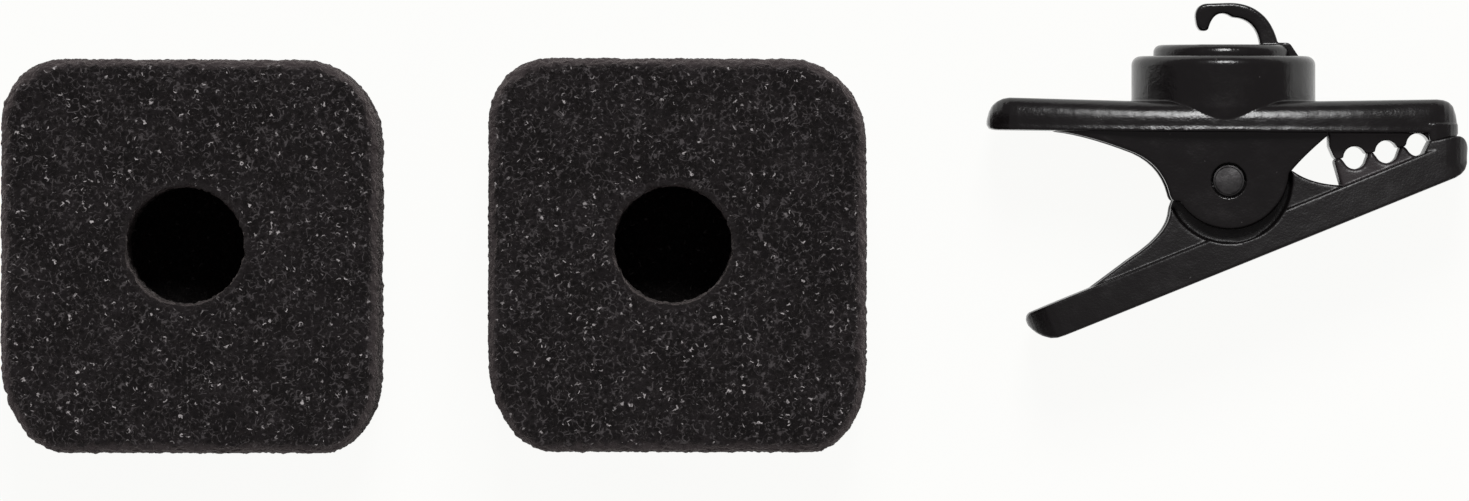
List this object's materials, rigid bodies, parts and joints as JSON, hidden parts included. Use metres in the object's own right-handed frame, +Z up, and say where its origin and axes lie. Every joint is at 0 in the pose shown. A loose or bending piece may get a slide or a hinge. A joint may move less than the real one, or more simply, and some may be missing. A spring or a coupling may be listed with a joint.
{
  "type": "lavalier microphone accessory set",
  "caption": "Square foam windscreens and a sprung lapel clip with a swivelling cable hook, the clothing-mount set of a lavalier microphone.",
  "frame": {"origin": "middle of the row's outer box in X and Y, on the surface that the pieces lie on", "axes": "+X along the row from the windscreens to the clip, +Y from the clip's lower lever to its cable hook, +Z up off the surface"},
  "size_m": [0.0854, 0.0262, 0.018],
  "materials": {
    "foam": "matte",
    "clip_plastic": "satin",
    "pin_steel": "satin",
    "spring_steel": "satin"
  },
  "bodies": {
    "clip_body": {"upper_lever": "clip_plastic", "hinge_pin": "pin_steel", "torsion_spring": "spring_steel"},
    "lower_jaw": {"lower_lever": "clip_plastic"},
    "cable_rotor": {"cable_hook": "clip_plastic"},
    "left_screen": {"windscreen_left": "foam"},
    "right_screen": {"windscreen_right": "foam"}
  },
  "joints": [
    {"name": "jaw_open", "type": "hinge", "parent": "clip_body", "child": "lower_jaw", "pos_m": [0.02874, 0.00272, 0.00534], "axis": [0, 0, -1], "range_deg": [0, 20], "stiffness_Nm_per_rad": 0.002, "deforming": ["torsion_spring"]},
    {"name": "hook_swivel", "type": "hinge", "parent": "clip_body", "child": "cable_rotor", "pos_m": [0.02852, 0.01064, 0.00534], "axis": [0, 1, 0], "continuous": true},
    {"name": "left_windscreen_lift", "type": "slide", "parent": "clip_body", "child": "left_screen", "axis": [0, 0, 1], "range_m": [0, 0.03]},
    {"name": "right_windscreen_lift", "type": "slide", "parent": "clip_body", "child": "right_screen", "axis": [0, 0, 1], "range_m": [0, 0.03]}
  ]
}
